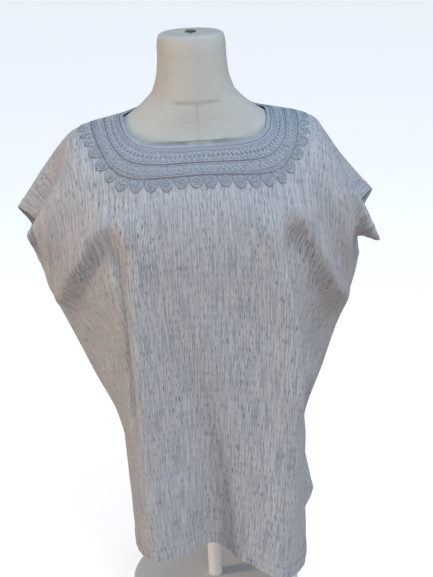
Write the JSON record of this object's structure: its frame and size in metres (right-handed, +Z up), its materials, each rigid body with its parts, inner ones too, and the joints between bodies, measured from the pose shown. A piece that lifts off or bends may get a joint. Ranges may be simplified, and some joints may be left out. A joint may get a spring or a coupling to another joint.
{
  "type": "huipil blouse on dress form",
  "caption": "Boxy short-sleeved huipil blouse with a scooped, embroidered neck, hanging open and loose on a limbless dress form with a pole and round foot",
  "frame": {"origin": "the middle of the round foot's flat underside, on the surface it stands on", "axes": "+Z up along the pole, the front of the blouse faces -Y, +X is toward the right of a viewer who looks at the front"},
  "size_m": [0.5901, 0.3542, 0.9872],
  "materials": {
    "striped_cotton": "matte pale cream and grey cotton with short dark blue-grey streaks along the warp, and tone-on-tone raised embroidery round the neck",
    "binding": "smooth pale blue-grey cotton bias binding",
    "form_cover": "off-white linen-like cover",
    "cap_disc": "small dark brown disc",
    "stand_paint": "plain white satin paint"
  },
  "bodies": {
    "root": {"front_panel": "striped_cotton", "back_panel": "striped_cotton", "neck_binding": "binding", "form_body": "form_cover", "neck_disc": "cap_disc", "stand_pole": "stand_paint", "stand_foot": "stand_paint"}
  },
  "joints": []
}
